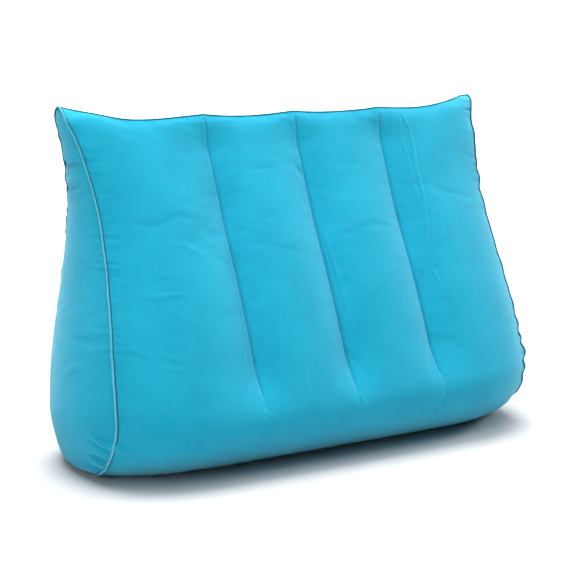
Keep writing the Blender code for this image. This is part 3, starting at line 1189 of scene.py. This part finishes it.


# %% The three welts
# The crest value stored here places the welt's painted light and painted shade.
def mark_crest(data, path, outwards):
    """Stores how far each point of a welt faces outwards: 1 on its crest, less down to the cloth."""
    finder = KDTree(len(path))
    for index, place in enumerate(path):
        finder.insert(place, index)
    finder.balance()
    rings = np.empty(len(data.vertices) * 3)
    data.vertices.foreach_get("co", rings)
    rings = rings.reshape(-1, WELT_SIDES, 3)
    middles = rings.mean(axis=1)
    ways = outwards[[finder.find(middle)[1] for middle in middles]]
    away = rings - middles[:, None]
    crest = (away * ways[:, None]).sum(axis=-1) / np.linalg.norm(away, axis=-1)
    data.attributes.new("crest", "FLOAT", "POINT").data.foreach_set("value", crest.ravel())


def sweep(name, way, closed, seed, tree, sizes=()):
    """A plain mesh of one welt, made by the tree from its path. sizes are inputs that differ."""
    path, outwards = way
    curve = bpy.data.curves.new(name, "CURVE")
    curve.dimensions = "3D"
    line = curve.splines.new("POLY")
    line.points.add(len(path) - 1)
    line.points.foreach_set("co", np.column_stack((path, np.ones(len(path)))).ravel())
    line.use_cyclic_u = closed
    holder = in_scene(name + "_path", curve)
    modifier = holder.modifiers.new("welt", "NODES")
    modifier.node_group = tree
    inputs = [item for item in tree.interface.items_tree if item.in_out == "INPUT"]
    sockets = {item.name: item.identifier for item in inputs}
    for label, value in {**WELT_INPUTS, **dict(sizes), "Seed": seed}.items():
        modifier[sockets[label]] = value
    modifier[sockets["Cloth"]] = WELT_PAINTED_FINISH
    depsgraph = bpy.context.evaluated_depsgraph_get()
    data = bpy.data.meshes.new_from_object(holder.evaluated_get(depsgraph), depsgraph=depsgraph)
    bpy.data.objects.remove(holder)
    data.name = name
    mark_crest(data, path, outwards)
    welt = in_scene(name, data)
    print(name + ":", len(data.polygons), "faces,", [m.name for m in data.materials])
    return welt


WELT_TREE = welt_tree()
THIN = {"Radius": 0.0009, "Wobble": 0.0003}
piping_left = sweep("piping_left", LEFT_PATH, True, 3.0, WELT_TREE)
piping_right = sweep("piping_right", RIGHT_PATH, True, 5.0, WELT_TREE)
piping_top = sweep("piping_top", TOP_PATH, False, 7.0, WELT_TREE, THIN)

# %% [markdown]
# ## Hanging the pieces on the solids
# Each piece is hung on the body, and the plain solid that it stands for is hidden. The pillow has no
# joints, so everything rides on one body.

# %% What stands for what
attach(air_cushion, "root")
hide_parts("cushion")
PIPINGS = {"welt_left": piping_left, "welt_right": piping_right, "welt_top": piping_top}
for solid, piping in PIPINGS.items():
    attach(piping, "root")
    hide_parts(solid)
print("pieces:", air_cushion.name, *[piping.name for piping in PIPINGS.values()])

# %% [markdown]
# ## Floor and light
# A studio photographs such a thing on a white sweep, a sheet that runs from under it up the wall in
# one curve, so that no edge shows. Large soft lights do the rest: a key from the right side brings
# out the channels, one high in front and one overhead brighten the slope and the top, and a weak one
# from the left keeps the gusset open. The last shines past the pillow on the wall only, to keep it
# white.

# %% The white sweep
SWEEP_FRONT = -4.0
SWEEP_BACK = 2.2
SWEEP_BEND = 1.6
SWEEP_TOP = 5.0
SWEEP_HALF_WIDTH = 6.0
BEND_STEPS = 16
PAPER = (0.62, 0.62, 0.62, 1.0)


def sweep_sheet():
    """A pale floor that bends up behind the pillow."""
    rows = [(SWEEP_FRONT, 0.0), (0.0, 0.0), (SWEEP_BACK, 0.0)]
    for step in range(1, BEND_STEPS + 1):
        angle = math.radians(90 * step / BEND_STEPS)
        back, up = SWEEP_BEND * math.sin(angle), SWEEP_BEND * (1 - math.cos(angle))
        rows.append((SWEEP_BACK + back, up))
    rows.append((SWEEP_BACK + SWEEP_BEND, SWEEP_TOP))
    points = [(x, y, z) for y, z in rows for x in (-SWEEP_HALF_WIDTH, SWEEP_HALF_WIDTH)]
    faces = [(2 * k, 2 * k + 1, 2 * k + 3, 2 * k + 2) for k in range(len(rows) - 1)]
    data = bpy.data.meshes.new("floor")
    data.from_pydata(points, [], faces)
    data.transform(Matrix.Rotation(-CAMERA_YAW, 4, "Z"))
    data.shade_smooth()
    material, tree, shader = fresh_material("white paper")
    fill(tree, shader, {"Base Color": PAPER, "Roughness": 0.9})
    data.materials.append(material)
    return in_scene("floor", data)


sweep_sheet()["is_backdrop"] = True
print("the sweep starts to bend", SWEEP_BACK, "m behind the pillow")

# %% Soft lights
LIGHTS = (
    # name, place, what it looks at, size, watts
    ("key", (5.0, -0.5, 2.5), (0.0, 0.0, 0.2), 1.5, 116.0),
    ("front", (0.0, -1.2, 3.2), (0.0, 0.0, 0.2), 2.4, 60.0),
    ("fill", (-2.6, -1.2, 1.3), (0.0, 0.0, 0.2), 2.0, 29.0),
    ("overhead", (0.0, 0.6, 2.8), (0.0, 0.0, 0.2), 2.4, 150.0),
    ("wall", (0.6, 1.6, 2.2), (1.2, 4.0, 1.4), 1.6, 150.0),
)
WORLD_GLOW = 0.02

for name, place, target, size, watts in LIGHTS:
    light = bpy.data.lights.new(name, "AREA")
    light.shape = "SQUARE"
    light.size = size
    light.energy = watts
    lamp = in_scene(name, light)
    lamp.location = place
    lamp.rotation_euler = turned_along(Vector(target) - Vector(place))

world = bpy.data.worlds.new("studio")
world.use_nodes = True
background = world.node_tree.nodes["Background"]
fill(world.node_tree, background, {"Color": (1.0, 1.0, 1.0, 1.0), "Strength": WORLD_GLOW})
bpy.context.scene.world = world
bpy.context.scene.view_settings.view_transform = "Standard"
print("lights:", ", ".join(row[0] for row in LIGHTS))

# %% [markdown]
# ## Last measurements
# The boxes of the solids and of the dressed pillow are both printed.

# %% Boxes
DRESSED_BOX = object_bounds()
boxes = {
    "solids": [list(corner) for corner in SOLID_BOX],
    "dressed": [list(corner) for corner in DRESSED_BOX],
}
for name, corners in boxes.items():
    print(name, [[round(c, 4) for c in corner] for corner in corners])
